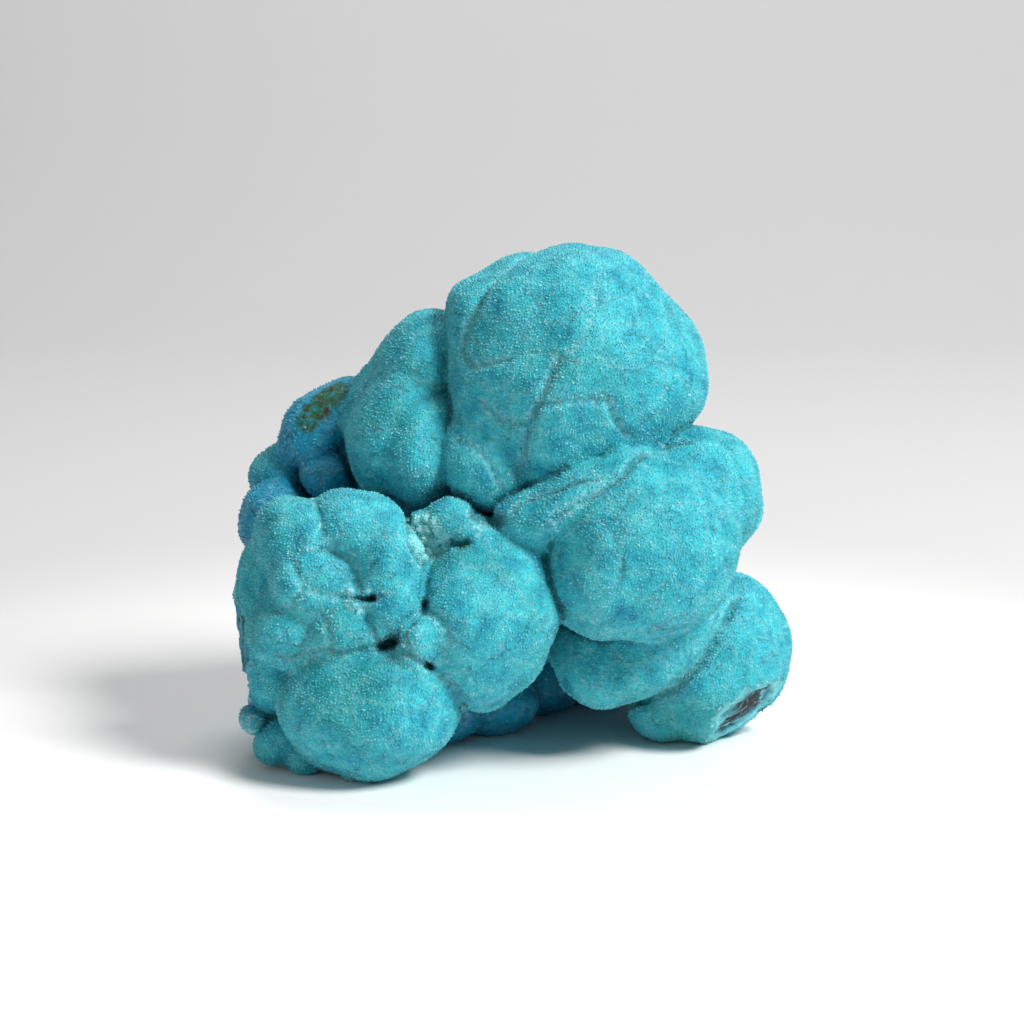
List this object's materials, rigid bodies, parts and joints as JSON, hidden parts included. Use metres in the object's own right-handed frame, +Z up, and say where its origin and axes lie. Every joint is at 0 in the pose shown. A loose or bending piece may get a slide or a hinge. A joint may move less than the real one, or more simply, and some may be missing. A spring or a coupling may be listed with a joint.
{
  "type": "chrysocolla mineral specimen",
  "caption": "Free-standing botryoidal chrysocolla specimen: rounded blue-green lobes grown together under a sugary quartz druse, with a broken back, left flank and lower right chip.",
  "frame": {"origin": "middle of the specimen's footprint, on the surface it stands on", "axes": "+Z up, +X to the right seen from the front, +Y from the front to the broken back"},
  "size_m": [0.0844, 0.061, 0.0747],
  "materials": {
    "chrysocolla": "rough, sparkling sugary druse over blue-green botryoidal lobes"
  },
  "bodies": {
    "root": {"chrysocolla_cluster": "chrysocolla"}
  },
  "joints": []
}
